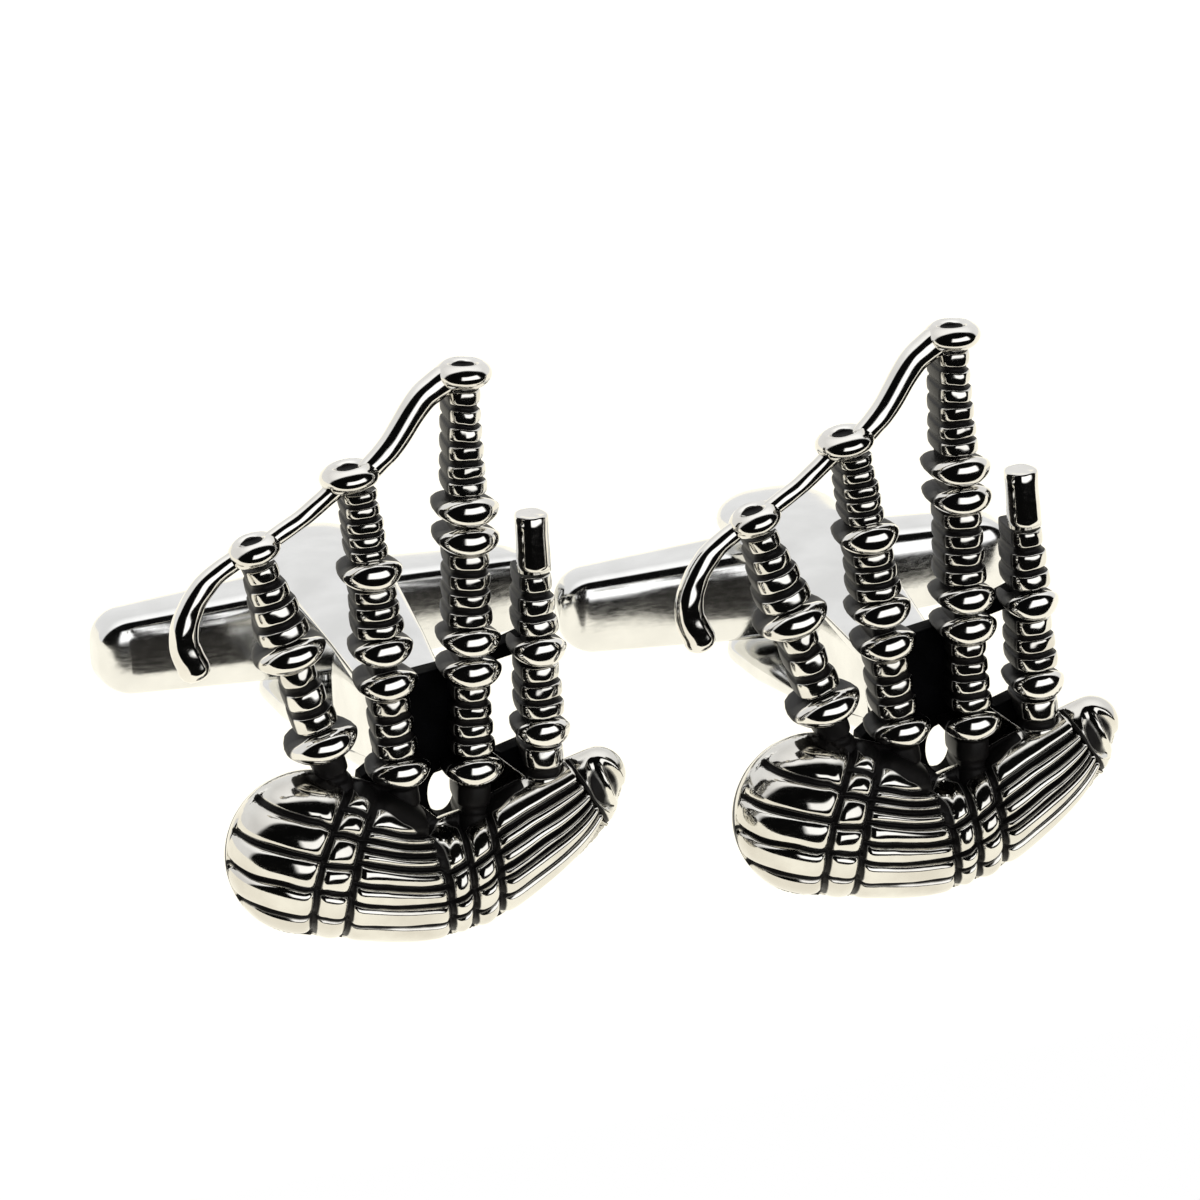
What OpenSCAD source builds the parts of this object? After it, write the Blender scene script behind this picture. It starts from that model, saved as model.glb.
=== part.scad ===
// A pair of bagpipe-shaped cufflinks with swivel toggle backs.
// Each ornament is drawn upright with its flat back in the XZ plane, its face towards -Y
// and its toggle pivot on X = 0, and is then leaned back onto its bag and its fork.

/* [Pair] */
// Distance from the left cufflink to the right one
pair_gap = 18.6; // [18.5:0.1:30]
// How far the right cufflink stands in front of the left one
pair_step = 2.6; // [2.5:0.1:6]
// Angle that each cufflink leans back when it rests on its bag and its fork
lean = 12; // [11.6:0.1:12.6]
// Angle that each cufflink tips towards the other
splay = 1.5; // [0:0.1:2]

/* [Pipes] */
// Depth from the flat back to the axis of each pipe
pipe_depth = 1.8; // [1.5:0.05:2.0]
// Height of one rounded collar
collar_h = 0.95; // [0.8:0.05:1.05]
// Radius of the two bass collars under the cap section
bass_collar_r = 1.18; // [1.1:0.02:1.3]
// Radius of the other collars of the bass drone
bass_low_collar_r = 1.14; // [1.0:0.02:1.3]
// Radius of the collars of the inner tenor drone
inner_collar_r = 1.15; // [1.0:0.02:1.3]
// Radius of the collars of the outer tenor drone
outer_collar_r = 1.36; // [1.2:0.02:1.5]
// Radius of the collars of the blowpipe
blow_collar_r = 1.04; // [0.96:0.02:1.16]
// Depth of the turned grooves in the pipe sections
ring_cut = 0.1; // [0.05:0.01:0.13]

/* [Caps and cord] */
// Radius of the bass drone's cap
bass_cap_r = 1.04; // [0.94:0.02:1.14]
// Radius of the inner tenor drone's cap
inner_cap_r = 1.08; // [1.0:0.02:1.2]
// Radius of the outer tenor drone's cap
outer_cap_r = 0.98; // [0.9:0.02:1.1]
// Radius of the hollow in the top of each cap
cap_hollow_r = 0.42; // [0.3:0.02:0.5]
// Radius of the cord where it leaves the bass cap
cord_thick_r = 0.62; // [0.5:0.02:0.7]
// Radius of the cord along its upper run
cord_mid_r = 0.44; // [0.35:0.02:0.5]
// Radius of the cord between the tenor caps
cord_thin_r = 0.34; // [0.28:0.02:0.4]
// Radius of the hanging tail at its blunt end
cord_tail_r = 0.62; // [0.45:0.02:0.7]

/* [Bag] */
// Depth of the bag's bulge in front of its axis
bag_front = 2.7; // [2.2:0.1:3.0]
// Depth from the flat back to the bag's axis
bag_depth = 1.8; // [1.5:0.05:2.0]

/* [Web and fork] */
// Thickness of the black web behind the drones
web_t = 1.0; // [0.7:0.05:1.3]
// Width of the oval hole in the web
web_hole_w = 1.2; // [0.8:0.05:1.3]
// Radius of the soldered pad on the back
pad_r = 1.6; // [1.3:0.05:1.8]
// Thickness of the soldered pad
pad_t = 0.5; // [0.4:0.05:0.8]
// Distance from the ornament's flat back to the toggle's pivot
pivot_y = 14.4; // [13.4:0.2:16]
// Height of the fork's lowest face above the bottom of the bag
fork_rest_z = 3.45; // [3.4:0.05:3.65]
// Thickness of each fork arm over the toggle
arm_t = 1.25; // [1.0:0.05:1.6]
// Radius of the round lobe at the end of each fork arm
lobe_r = 2.4; // [2.1:0.05:2.6]

/* [Toggle] */
// Length of the toggle bar from tip to tip
toggle_len = 18.2; // [17:0.1:18.2]
// Height of the toggle bar at its pivot
toggle_h = 3.9; // [3.6:0.05:4.0]
// Height of the toggle bar near its tips
toggle_tip_h = 3.0; // [2.6:0.05:3.1]
// Depth of the toggle bar at its pivot
toggle_d = 3.4; // [3.0:0.05:3.6]
// Depth of the toggle bar near its tips
toggle_tip_d = 2.4; // [2.0:0.05:2.8]
// Angle of the toggle bar off square to the fork, as the pair is set down
toggle_swing = 6; // [0:0.1:6.5]
// Radius of the pivot pin
pin_r = 0.6; // [0.45:0.05:0.8]
// Radial clearance of the toggle on its pin
pin_clear = 0.04; // [0.02:0.01:0.08]
// Gap between the toggle and each fork arm
arm_gap = 0.2; // [0.15:0.05:0.3]

/* [Hidden] */
$fn = 48;
row_y = -7.44;
stand_z = 0.14;
far = 60;
neck_r = 0.46;
waist_r = 0.76;
ring_share = 0.6;
tip_round = 0.26;

// Axis of each pipe: foot x, foot z, tilt towards -X and length to the seat of its cap
bass_foot = [1.62, 3.3];
bass_tilt = -1.2;
bass_len = 16.85;
inner_foot = [-0.86, 3.6];
inner_tilt = 5;
inner_len = 13.35;
outer_foot = [-3.25, 5.3];
outer_tilt = 15.5;
outer_len = 9.65;
blow_foot = [4.36, 3.3];
blow_tilt = 0.4;
blow_len = 9.7;
mouth_len = 2.15;

// Collar heights along each pipe, measured from its foot
bass_top_collars = [11.3, 12.4];
bass_slide_collars = [6.35, 7.5];
bass_foot_collar = 2.6;
inner_top_collar = 10.2;
inner_slide_collars = [6.0, 7.3];
inner_foot_collar = 2.6;
outer_slide_collar = 6.1;
outer_foot_collar = 2.45;
blow_slide_collar = 6.8;
blow_foot_collar = 3.7;

// Lower and upper radius of each turned section, from the foot upwards
foot_r = [0.62, 0.62];
bass_low_r = [0.8, 0.72];
bass_mid_r = [0.86, 0.76];
bass_top_r = [0.74, 0.6];
inner_low_r = [0.78, 0.72];
inner_mid_r = [0.92, 0.8];
inner_top_r = [0.74, 0.62];
outer_low_r = [0.82, 0.68];
outer_top_r = [0.96, 0.6];
blow_low_r = [0.82, 0.74];
blow_top_r = [0.76, 0.62];
mouth_r = 0.6;

// Bag stations from the round end to the curled tip: x, z, half height
bag_stations = [
    [-4.6, 3.45, 3.05],
    [-2.7, 2.85, 2.9],
    [-0.5, 1.82, 2.28],
    [1.5, 2.05, 2.2],
    [3.6, 3.07, 2.04],
    [5.27, 3.95, 1.64],
    [6.35, 4.9, 1.05]
];
fold_at = [5.9, 4.3];
fold_turn = 29;

// Web outline: x, z
web_outline = [
    [-2.4, 5.2], [-2.3, 5.75], [-1.2, 6.5], [-1.4, 9.3], [-0.2, 9.35],
    [1.75, 9.6], [4.4, 10.5], [4.4, 9.8], [2.4, 9.4], [1.8, 8.7], [2.2, 6.3],
    [3.0, 5.95], [4.4, 6.35], [4.4, 4.6], [1.8, 3.6], [-0.9, 3.6]
];
hole_at = [0.75, 4.7];
web_hole_h = 1.9;

cap_h = 1.0;
cap_hollow_h = 0.25;

// Cord paths: x, y, z
cord_upper_path = [[1.3, -1.8, 20.5], [0.35, -1.8, 19.85], [-0.75, -1.8, 18.35], [-1.7, -1.8, 17.45]];
cord_lower_path = [[-2.75, -1.8, 17.1], [-4.0, -1.8, 16.15], [-5.35, -1.8, 15.35]];
cord_tail_path = [
    [-6.35, -1.8, 15.0], [-7.62, -1.78, 14.18], [-8.41, -1.75, 13.12], [-8.68, -1.7, 11.98],
    [-8.34, -1.6, 10.92]
];
inner_cap_shift = -0.3;

arm_out = toggle_h / 2 + arm_gap + arm_t;
arm_in = toggle_h / 2 + arm_gap;
pivot_z = fork_rest_z + arm_out;
crotch_y = pivot_y - toggle_len / 2 - 0.45;
crotch_in = toggle_tip_h / 2 + 0.25;
stem_half = 1.9;
stem_half_w = 1.5;
pin_len = 2 * arm_out;

silver = [0.78, 0.77, 0.74];
bright = [0.86, 0.85, 0.82];
black = [0.06, 0.06, 0.06];
steel = [0.74, 0.75, 0.76];

// Puts a cufflink in its place in the pair: side is -1 for the left one and 1 for the right one
module placed(side) {
    translate([side * pair_gap / 2, -side * pair_step / 2 + row_y, stand_z])
        rotate([-lean, 0, 0])
            rotate([0, -side * splay, 0])
                children();
}

// Puts something drawn along +Z on the axis of a pipe
module on_pipe(foot, tilt) {
    translate([foot[0], 0, foot[1]])
        rotate([0, -tilt, 0])
            children();
}

// Half-round casting with a flat back, from half of its outline
module cast_round(depth) {
    translate([0, -depth, 0])
        rotate([0, 0, 180])
            rotate_extrude(angle = 180)
                children();
    rotate([90, 0, 0])
        linear_extrude(height = depth) {
            children();
            mirror([1, 0])
                children();
        }
}

// Half outline of a tapered section with raised rings, from z0 to z1
module ringed_outline(z0, z1, ends, rings) {
    pitch = (z1 - z0) / rings;
    land = pitch * ring_share;
    for (i = [0 : rings - 1]) {
        r = ends[0] + (ends[1] - ends[0]) * i / max(1, rings - 1);
        translate([0, z0 + i * pitch])
            square([r - ring_cut, pitch]);
        translate([0, z0 + i * pitch + (pitch - land) / 2])
            square([r, land]);
    }
}

// Half outline of the neck that carries the collars, from z0 to z1
module neck_outline(z0, z1) {
    translate([0, z0])
        square([neck_r, z1 - z0]);
}

// Half outline of one rounded collar around the neck
module collar_outline(z, r) {
    bead = collar_h / 2;
    intersection() {
        union() {
            translate([0, z - bead])
                square([r - bead, collar_h]);
            translate([r - bead, z])
                circle(r = bead);
        }
        translate([neck_r, z - bead])
            square([r, collar_h]);
    }
}

module single_collar(z, r) {
    cast_round(pipe_depth)
        collar_outline(z, r);
}

// Two neighbouring collars joined by a short waist
module double_collar(zs, r) {
    cast_round(pipe_depth) {
        collar_outline(zs[0], r);
        collar_outline(zs[1], r);
        translate([neck_r, zs[0]])
            square([waist_r - neck_r, zs[1] - zs[0]]);
    }
}

// Round cap with a hollow top, its rim at z = 0
module hollow_cap(r) {
    difference() {
        translate([0, -pipe_depth, 0])
            rotate_extrude()
                polygon([
                    [0, -cap_h / 2],
                    [r * 0.7, -cap_h / 2],
                    [r, 0],
                    [r * 0.7, cap_h / 2],
                    [0, cap_h / 2]
                ]);
        translate([0, -pipe_depth, cap_h / 2 - cap_hollow_h])
            cylinder(r = cap_hollow_r, h = cap_hollow_h + 1);
    }
}

module cord_ball(at, r) {
    translate(at)
        sphere(r = r, $fn = 16);
}

// Round metal cord through a list of points, tapering from r0 to r1
module cord_run(path, r0, r1) {
    last = len(path) - 1;
    for (i = [0 : last - 1])
        hull() {
            cord_ball(path[i], r0 + (r1 - r0) * i / last);
            cord_ball(path[i + 1], r0 + (r1 - r0) * (i + 1) / last);
        }
}

module bag_lump(station) {
    squash = bag_front / bag_stations[0][2];
    translate([station[0], -bag_depth, station[1]])
        scale([1, squash, 1])
            sphere(r = station[2], $fn = 32);
}

// Bag from one station to another, cut flat at the back
module bag_run(first, last) {
    difference() {
        for (i = [first : last - 1])
            hull() {
                bag_lump(bag_stations[i]);
                bag_lump(bag_stations[i + 1]);
            }
        translate([-far / 2, 0, -far / 2])
            cube(far);
    }
}

// Everything on the tip's side of the fold near the bag's curled end
module tip_side() {
    translate([fold_at[0], 0, fold_at[1]])
        rotate([0, -fold_turn, 0])
            translate([0, -far / 2, -far / 2])
                cube(far);
}

module bag() {
    color(silver)
        difference() {
            bag_run(0, len(bag_stations) - 1);
            tip_side();
        }
}

module bag_tip() {
    color(silver)
        intersection() {
            bag_run(len(bag_stations) - 2, len(bag_stations) - 1);
            tip_side();
        }
}

module back_web() {
    color(black)
        difference() {
            rotate([90, 0, 0])
                linear_extrude(height = web_t)
                    polygon(web_outline);
            translate([hole_at[0], 0, hole_at[1]])
                rotate([90, 0, 0])
                    linear_extrude(height = far, center = true)
                        hole_outline();
        }
}

// Tall oval of the see-through hole
module hole_outline() {
    r = web_hole_w / 2;
    rise = web_hole_h / 2 - r;
    square([web_hole_w, rise * 2], center = true);
    for (side = [-1, 1])
        translate([0, side * rise])
            circle(r = r);
}

module bass_drone() {
    color(silver)
        on_pipe(bass_foot, bass_tilt)
            cast_round(pipe_depth) {
                neck_outline(0, bass_len);
                ringed_outline(0, bass_foot_collar - collar_h / 2, foot_r, 2);
                ringed_outline(bass_foot_collar + collar_h / 2,
                    bass_slide_collars[0] - collar_h / 2, bass_low_r, 4);
                ringed_outline(bass_slide_collars[1] + collar_h / 2,
                    bass_top_collars[0] - collar_h / 2, bass_mid_r, 4);
                ringed_outline(bass_top_collars[1] + collar_h / 2, bass_len, bass_top_r, 6);
            }
}

module bass_cap() {
    color(bright)
        on_pipe(bass_foot, bass_tilt)
            translate([0, 0, bass_len + cap_h / 2])
                hollow_cap(bass_cap_r);
}

module bass_top_collars() {
    color(bright)
        on_pipe(bass_foot, bass_tilt)
            double_collar(bass_top_collars, bass_collar_r);
}

module bass_slide_collars() {
    color(bright)
        on_pipe(bass_foot, bass_tilt)
            double_collar(bass_slide_collars, bass_low_collar_r);
}

module bass_foot_collar() {
    color(bright)
        on_pipe(bass_foot, bass_tilt)
            single_collar(bass_foot_collar, bass_low_collar_r);
}

module inner_tenor_drone() {
    color(silver)
        on_pipe(inner_foot, inner_tilt)
            cast_round(pipe_depth) {
                neck_outline(0, inner_len);
                ringed_outline(0, inner_foot_collar - collar_h / 2, foot_r, 2);
                ringed_outline(inner_foot_collar + collar_h / 2,
                    inner_slide_collars[0] - collar_h / 2, inner_low_r, 3);
                ringed_outline(inner_slide_collars[1] + collar_h / 2,
                    inner_top_collar - collar_h / 2, inner_mid_r, 3);
                ringed_outline(inner_top_collar + collar_h / 2, inner_len, inner_top_r, 5);
            }
}

module inner_tenor_cap() {
    color(bright)
        on_pipe(inner_foot, inner_tilt)
            translate([inner_cap_shift, 0, inner_len + cap_h / 2])
                hollow_cap(inner_cap_r);
}

module inner_tenor_top_collar() {
    color(bright)
        on_pipe(inner_foot, inner_tilt)
            single_collar(inner_top_collar, inner_collar_r);
}

module inner_tenor_slide_collars() {
    color(bright)
        on_pipe(inner_foot, inner_tilt)
            double_collar(inner_slide_collars, inner_collar_r);
}

module inner_tenor_foot_collar() {
    color(bright)
        on_pipe(inner_foot, inner_tilt)
            single_collar(inner_foot_collar, inner_collar_r);
}

module outer_tenor_drone() {
    color(silver)
        on_pipe(outer_foot, outer_tilt)
            cast_round(pipe_depth) {
                neck_outline(0, outer_len);
                ringed_outline(0, outer_foot_collar - collar_h / 2, foot_r, 2);
                ringed_outline(outer_foot_collar + collar_h / 2,
                    outer_slide_collar - collar_h / 2, outer_low_r, 3);
                ringed_outline(outer_slide_collar + collar_h / 2, outer_len, outer_top_r, 4);
            }
}

module outer_tenor_cap() {
    color(bright)
        on_pipe(outer_foot, outer_tilt)
            translate([0, 0, outer_len + cap_h / 2])
                hollow_cap(outer_cap_r);
}

module outer_tenor_slide_collar() {
    color(bright)
        on_pipe(outer_foot, outer_tilt)
            single_collar(outer_slide_collar, outer_collar_r);
}

module outer_tenor_foot_collar() {
    color(bright)
        on_pipe(outer_foot, outer_tilt)
            single_collar(outer_foot_collar, outer_collar_r);
}

module blowpipe() {
    color(silver)
        on_pipe(blow_foot, blow_tilt)
            cast_round(pipe_depth) {
                neck_outline(0, blow_len);
                ringed_outline(0, blow_foot_collar - collar_h / 2, blow_low_r, 3);
                ringed_outline(blow_foot_collar + collar_h / 2,
                    blow_slide_collar - collar_h / 2, blow_low_r, 3);
                ringed_outline(blow_slide_collar + collar_h / 2, blow_len, blow_top_r, 3);
            }
}

module mouthpiece() {
    color(bright)
        on_pipe(blow_foot, blow_tilt)
            cast_round(pipe_depth)
                translate([0, blow_len])
                    square([mouth_r, mouth_len]);
}

module blowpipe_slide_collar() {
    color(bright)
        on_pipe(blow_foot, blow_tilt)
            single_collar(blow_slide_collar, blow_collar_r);
}

module blowpipe_foot_collar() {
    color(bright)
        on_pipe(blow_foot, blow_tilt)
            single_collar(blow_foot_collar, blow_collar_r);
}

module cord_upper() {
    color(bright)
        cord_run(cord_upper_path, cord_thick_r, cord_mid_r);
}

module cord_lower() {
    color(bright)
        cord_run(cord_lower_path, cord_thin_r, cord_thin_r);
}

module cord_tail() {
    color(bright)
        cord_run(cord_tail_path, cord_thin_r, cord_tail_r);
}

module solder_pad() {
    color(steel)
        translate([0, 0, pivot_z])
            rotate([-90, 0, 0])
                cylinder(r = pad_r, h = pad_t);
}

// Side view of the fork: two arms that spread from a stem and run over and under the toggle
module fork_side_outline() {
    lobe_start = pivot_y - lobe_r;
    lobe_end = pivot_y + lobe_r;
    polygon([
        [pad_t, -stem_half],
        [pad_t, stem_half],
        [lobe_start, arm_out],
        [lobe_end, arm_out],
        [lobe_end, arm_in],
        [lobe_start, arm_in],
        [crotch_y, crotch_in],
        [crotch_y, -crotch_in],
        [lobe_start, -arm_in],
        [lobe_end, -arm_in],
        [lobe_end, -arm_out],
        [lobe_start, -arm_out]
    ]);
}

// Top view of the fork: a stem that widens into a round lobe around the pivot
module fork_top_outline() {
    polygon([
        [-stem_half_w, pad_t],
        [stem_half_w, pad_t],
        [lobe_r, pivot_y],
        [-lobe_r, pivot_y]
    ]);
    translate([0, pivot_y])
        circle(r = lobe_r);
}

module fork() {
    color(steel)
        translate([0, 0, pivot_z])
            difference() {
                intersection() {
                    rotate([90, 0, 90])
                        linear_extrude(height = far, center = true)
                            fork_side_outline();
                    linear_extrude(height = far, center = true)
                        fork_top_outline();
                }
                translate([0, pivot_y, 0])
                    cylinder(r = pin_r, h = pin_len, center = true);
            }
}

module pivot_pin() {
    color(steel)
        translate([0, pivot_y, pivot_z])
            cylinder(r = pin_r, h = pin_len, center = true);
}

// Outline of the toggle, deepest at its pivot, with its corners cut off at the tips
module toggle_outline(mid, tip) {
    end = toggle_len / 2;
    corner = tip * tip_round;
    flat = end - corner;
    half = tip / 2;
    polygon([
        [-end, corner - half], [-end, half - corner], [-flat, half],
        [-lobe_r / 2, mid / 2], [lobe_r / 2, mid / 2],
        [flat, half], [end, half - corner], [end, corner - half], [flat, -half],
        [lobe_r / 2, -mid / 2], [-lobe_r / 2, -mid / 2],
        [-flat, -half]
    ]);
}

// Toggle bar, swung off square: side is -1 for the left cufflink and 1 for the right one
module toggle_bar(side) {
    color(steel)
        translate([0, pivot_y, pivot_z])
            rotate([0, 0, -side * toggle_swing])
                difference() {
                    intersection() {
                        rotate([90, 0, 0])
                            linear_extrude(height = far, center = true)
                                toggle_outline(toggle_h, toggle_tip_h);
                        linear_extrude(height = far, center = true)
                            toggle_outline(toggle_d, toggle_tip_d);
                    }
                    cylinder(r = pin_r + pin_clear, h = far, center = true);
                }
}

placed(-1) bag();  // left_bag
placed(-1) bag_tip();  // left_bag_tip
placed(-1) back_web();  // left_back_web
placed(-1) bass_drone();  // left_bass_drone
placed(-1) bass_cap();  // left_bass_cap
placed(-1) bass_top_collars();  // left_bass_top_collars
placed(-1) bass_slide_collars();  // left_bass_slide_collars
placed(-1) bass_foot_collar();  // left_bass_foot_collar
placed(-1) inner_tenor_drone();  // left_inner_tenor_drone
placed(-1) inner_tenor_cap();  // left_inner_tenor_cap
placed(-1) inner_tenor_top_collar();  // left_inner_tenor_top_collar
placed(-1) inner_tenor_slide_collars();  // left_inner_tenor_slide_collars
placed(-1) inner_tenor_foot_collar();  // left_inner_tenor_foot_collar
placed(-1) outer_tenor_drone();  // left_outer_tenor_drone
placed(-1) outer_tenor_cap();  // left_outer_tenor_cap
placed(-1) outer_tenor_slide_collar();  // left_outer_tenor_slide_collar
placed(-1) outer_tenor_foot_collar();  // left_outer_tenor_foot_collar
placed(-1) blowpipe();  // left_blowpipe
placed(-1) mouthpiece();  // left_mouthpiece
placed(-1) blowpipe_slide_collar();  // left_blowpipe_slide_collar
placed(-1) blowpipe_foot_collar();  // left_blowpipe_foot_collar
placed(-1) cord_upper();  // left_cord_upper
placed(-1) cord_lower();  // left_cord_lower
placed(-1) cord_tail();  // left_cord_tail
placed(-1) solder_pad();  // left_solder_pad
placed(-1) fork();  // left_fork
placed(-1) pivot_pin();  // left_pivot_pin
placed(-1) toggle_bar(-1);  // left_toggle_bar
placed(1) bag();  // right_bag
placed(1) bag_tip();  // right_bag_tip
placed(1) back_web();  // right_back_web
placed(1) bass_drone();  // right_bass_drone
placed(1) bass_cap();  // right_bass_cap
placed(1) bass_top_collars();  // right_bass_top_collars
placed(1) bass_slide_collars();  // right_bass_slide_collars
placed(1) bass_foot_collar();  // right_bass_foot_collar
placed(1) inner_tenor_drone();  // right_inner_tenor_drone
placed(1) inner_tenor_cap();  // right_inner_tenor_cap
placed(1) inner_tenor_top_collar();  // right_inner_tenor_top_collar
placed(1) inner_tenor_slide_collars();  // right_inner_tenor_slide_collars
placed(1) inner_tenor_foot_collar();  // right_inner_tenor_foot_collar
placed(1) outer_tenor_drone();  // right_outer_tenor_drone
placed(1) outer_tenor_cap();  // right_outer_tenor_cap
placed(1) outer_tenor_slide_collar();  // right_outer_tenor_slide_collar
placed(1) outer_tenor_foot_collar();  // right_outer_tenor_foot_collar
placed(1) blowpipe();  // right_blowpipe
placed(1) mouthpiece();  // right_mouthpiece
placed(1) blowpipe_slide_collar();  // right_blowpipe_slide_collar
placed(1) blowpipe_foot_collar();  // right_blowpipe_foot_collar
placed(1) cord_upper();  // right_cord_upper
placed(1) cord_lower();  // right_cord_lower
placed(1) cord_tail();  // right_cord_tail
placed(1) solder_pad();  // right_solder_pad
placed(1) fork();  // right_fork
placed(1) pivot_pin();  // right_pivot_pin
placed(1) toggle_bar(1);  // right_toggle_bar
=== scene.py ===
import math

import bmesh
import bpy
import numpy as np
from mathutils import Matrix, Vector, noise


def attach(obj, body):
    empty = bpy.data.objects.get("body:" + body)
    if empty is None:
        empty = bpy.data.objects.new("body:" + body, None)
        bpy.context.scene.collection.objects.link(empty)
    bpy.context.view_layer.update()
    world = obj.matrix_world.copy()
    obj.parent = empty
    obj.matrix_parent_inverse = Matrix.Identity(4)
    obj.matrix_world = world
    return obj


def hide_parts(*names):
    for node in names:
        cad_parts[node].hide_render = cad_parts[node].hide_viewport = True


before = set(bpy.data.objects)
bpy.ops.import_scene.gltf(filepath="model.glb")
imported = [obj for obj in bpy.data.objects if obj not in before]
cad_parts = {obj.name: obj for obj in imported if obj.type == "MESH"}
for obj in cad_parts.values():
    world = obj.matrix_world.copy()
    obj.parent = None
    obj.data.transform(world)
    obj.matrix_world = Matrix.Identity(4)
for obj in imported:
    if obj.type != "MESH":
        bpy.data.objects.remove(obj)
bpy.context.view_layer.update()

# Sizes are in mm in a cufflink's own upright frame, as in the part: flat back in the XZ plane,
# face towards -Y, toggle pivot on X = 0. MM takes them to metres.
MM = 0.001
SIDES = (("left", -1), ("right", 1))
HALF_GAP = 9.3
HALF_STEP = 1.3
ROW_Y = -7.44
STAND_Z = 0.14
LEAN = 12.0
SPLAY = 1.5

PIPE_DEPTH = 1.8
NECK_R = 0.46
COLLAR_H = 0.95
RING_CUT = 0.12
CAP_H = 1.0
CAP_HOLLOW_R = 0.42
CAP_HOLLOW_H = 0.22
CAP_TOP = 0.44

BAG_DEPTH = 1.8
BAG_SQUASH = 2.7 / 3.05
BAG_STATIONS = (
    (-4.6, 3.45, 3.05),
    (-2.7, 2.85, 2.9),
    (-0.5, 1.82, 2.28),
    (1.5, 2.05, 2.2),
    (3.6, 3.07, 2.04),
    (5.27, 3.95, 1.64),
    (6.35, 4.9, 1.05),
)
FOLD_AT = (5.9, 4.3)
FOLD_TURN = 29.0

WEB_T = 1.0
PAD_R = 1.6
PAD_T = 0.5
PIVOT_Y = 14.4
PIVOT_Z = 6.85
ARM_T = 1.25
ARM_GAP = 0.2
LOBE_R = 2.4
STEM_HALF = 1.9
STEM_HALF_W = 1.5
TOGGLE_LEN = 18.2
TOGGLE_H = 3.9
TOGGLE_TIP_H = 3.0
TOGGLE_D = 3.4
TOGGLE_TIP_D = 2.4
TOGGLE_SWING = 6.0
PIN_R = 0.6
PIN_CLEAR = 0.04
ARM_IN = TOGGLE_H / 2 + ARM_GAP
ARM_OUT = ARM_IN + ARM_T
CROTCH_Y = PIVOT_Y - TOGGLE_LEN / 2 - 0.45
CROTCH_IN = TOGGLE_TIP_H / 2 + 0.25


def placed(side):
    """From a cufflink's own upright frame to the row's frame, both in metres."""
    return (
        Matrix.Translation(Vector((side * HALF_GAP, -side * HALF_STEP + ROW_Y, STAND_Z)) * MM)
        @ Matrix.Rotation(math.radians(-LEAN), 4, "X")
        @ Matrix.Rotation(math.radians(-side * SPLAY), 4, "Y")
    )


# ---------------------------------------------------------------- mesh helpers

def finished_mesh(name, verts, faces, hollow_black_and_shade):
    """Mesh in metres from mm, with faces turned outwards and its attribute set for the share of black: black
    in hollows, and painted shade.
    """
    mesh = bpy.data.meshes.new(name)
    mesh.from_pydata([Vector(v) * MM for v in verts], [], faces)
    bm = bmesh.new()
    bm.from_mesh(mesh)
    bmesh.ops.recalc_face_normals(bm, faces=bm.faces)
    bm.to_mesh(mesh)
    bm.free()
    mesh.shade_smooth()
    attr = mesh.attributes.new("hollow_black_and_shade", "FLOAT", "POINT")
    attr.data.foreach_set("value", np.asarray(hollow_black_and_shade, dtype=np.float32).ravel())
    return mesh


def loft(name, rows, hollow_black_and_shade):
    """Closed mesh through rows of loops that all have the same number of points."""
    rows = np.asarray(rows, dtype=float)
    count, around = rows.shape[:2]
    faces = [tuple(reversed(range(around)))]
    for i in range(count - 1):
        for j in range(around):
            k = (j + 1) % around
            low, high = i * around, (i + 1) * around
            faces.append((low + j, low + k, high + k, high + j))
    faces.append(tuple((count - 1) * around + j for j in range(around)))
    return finished_mesh(name, rows.reshape(-1, 3), faces, hollow_black_and_shade)


def smooth_path(points, per_span):
    """Points on a Catmull-Rom curve through the given points."""
    pts = [np.array(p, dtype=float) for p in points]
    pts = [2 * pts[0] - pts[1]] + pts + [2 * pts[-1] - pts[-2]]
    out = []
    for a, b, c, d in zip(pts, pts[1:], pts[2:], pts[3:]):
        for t in np.arange(per_span) / per_span:
            out.append(0.5 * (
                2 * b + (c - a) * t + (2 * a - 5 * b + 4 * c - d) * t * t
                + (3 * b - a - 3 * c + d) * t ** 3
            ))
    out.append(pts[-2])
    return np.array(out)


def rough(*at):
    """Repeatable smooth noise between about -1 and 1."""
    return noise.noise(Vector(at))


# ---------------------------------------------------------------- half-round castings

FRONT = np.linspace(-math.pi / 2, math.pi / 2, 33)
WALL = np.array([0.3, 0.6, 0.86])
DRAFT = 0.3
BEAD_PINCH = 0.66


def casting_loop():
    """Unit loop of a half-round casting: sideways share, front share and wall share per point."""
    side, front, wall = list(np.sin(FRONT)), list(np.cos(FRONT)), [0.0] * len(FRONT)
    right = [(1 - DRAFT * w * w, w) for w in WALL]
    right += [(0.95 - DRAFT, 0.96), (0.82 - DRAFT, 1.0), (0.3, 1.0)]
    for s, w in right + [(0.0, 1.0)] + [(-s, w) for s, w in reversed(right)]:
        side.append(s)
        front.append(0.0)
        wall.append(w)
    return np.array(side), np.array(front), np.array(wall)


SIDE_SHARE, FRONT_SHARE, WALL_SHARE = casting_loop()


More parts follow.
